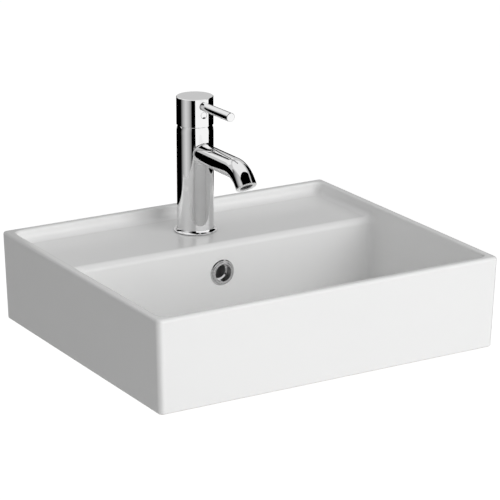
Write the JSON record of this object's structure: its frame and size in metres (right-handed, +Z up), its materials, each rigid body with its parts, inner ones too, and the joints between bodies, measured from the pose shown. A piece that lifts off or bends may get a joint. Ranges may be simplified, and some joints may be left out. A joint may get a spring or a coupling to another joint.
{
  "type": "wall-hung basin",
  "caption": "Rectangular wall-hung ceramic basin with a rear tap ledge, a pin-lever mixer with a bent spout, an overflow ring and a push-open waste.",
  "frame": {"origin": "middle of the two wall-bolt holes, on the face that meets the wall", "axes": "+X along the wall to the user's right, +Y into the wall, +Z up; the user stands on the -Y side"},
  "size_m": [0.4998, 0.4299, 0.3473],
  "materials": {
    "glaze": "white gloss glaze",
    "chrome": "polished chrome plate",
    "brass": "plain turned brass",
    "steel": "zinc-plated or stainless steel",
    "rubber": "black moulded rubber",
    "plastic": "pale moulded plastic",
    "grille": "dark moulded plastic",
    "disc": "lapped technical ceramic"
  },
  "bodies": {
    "basin": {"basin_body": "glaze", "overflow_ring": "chrome", "waste_body": "chrome", "mixer_body": "chrome", "spout": "chrome", "foot_ring": "chrome", "aerator_housing": "chrome", "cartridge_cover": "chrome", "waste_backnut": "brass", "cartridge_nut": "brass", "fixing_nut": "brass", "plug_sleeve": "brass", "shoe_plate": "steel", "fixing_stud": "steel", "flange_seal": "rubber", "cone_seal": "rubber", "foot_seal": "rubber", "aerator_seal": "rubber", "hot_inlet_seal": "rubber", "cold_inlet_seal": "rubber", "shoe_seal": "rubber", "waste_washer": "plastic", "cartridge_housing": "plastic", "cartridge_base": "plastic", "aerator_insert": "grille", "fixed_disc": "disc"},
    "turner": {"lever_drum": "plastic", "lever_axle": "steel"},
    "handle": {"cartridge_lever": "steel", "handle_cap": "chrome", "handle_pin": "chrome", "grub_screw": "steel", "index_plug": "chrome"},
    "discs": {"disc_carrier": "plastic", "moving_disc": "disc"},
    "plug": {"waste_plug": "chrome", "plug_stem": "steel", "stem_clip": "brass", "plug_seal": "rubber"}
  },
  "joints": [
    {"name": "handle_turn", "type": "hinge", "parent": "basin", "child": "turner", "pos_m": [0, -0.08, 0.1893], "axis": [0, 0, 1], "range_deg": [-50, 50]},
    {"name": "handle_lift", "type": "hinge", "parent": "turner", "child": "handle", "pos_m": [0, -0.08, 0.1893], "axis": [-1, 0, 0], "range_deg": [0, 20]},
    {"name": "disc_slide", "type": "slide", "parent": "turner", "child": "discs", "axis": [0, -1, 0], "range_m": [0, 0.0043]},
    {"name": "plug_lift", "type": "slide", "parent": "basin", "child": "plug", "axis": [0, 0, 1], "range_m": [0, 0.009]}
  ],
  "couplings": [
    {"joint": "disc_slide", "follows": "handle_lift", "m_per_rad": 0.012}
  ]
}
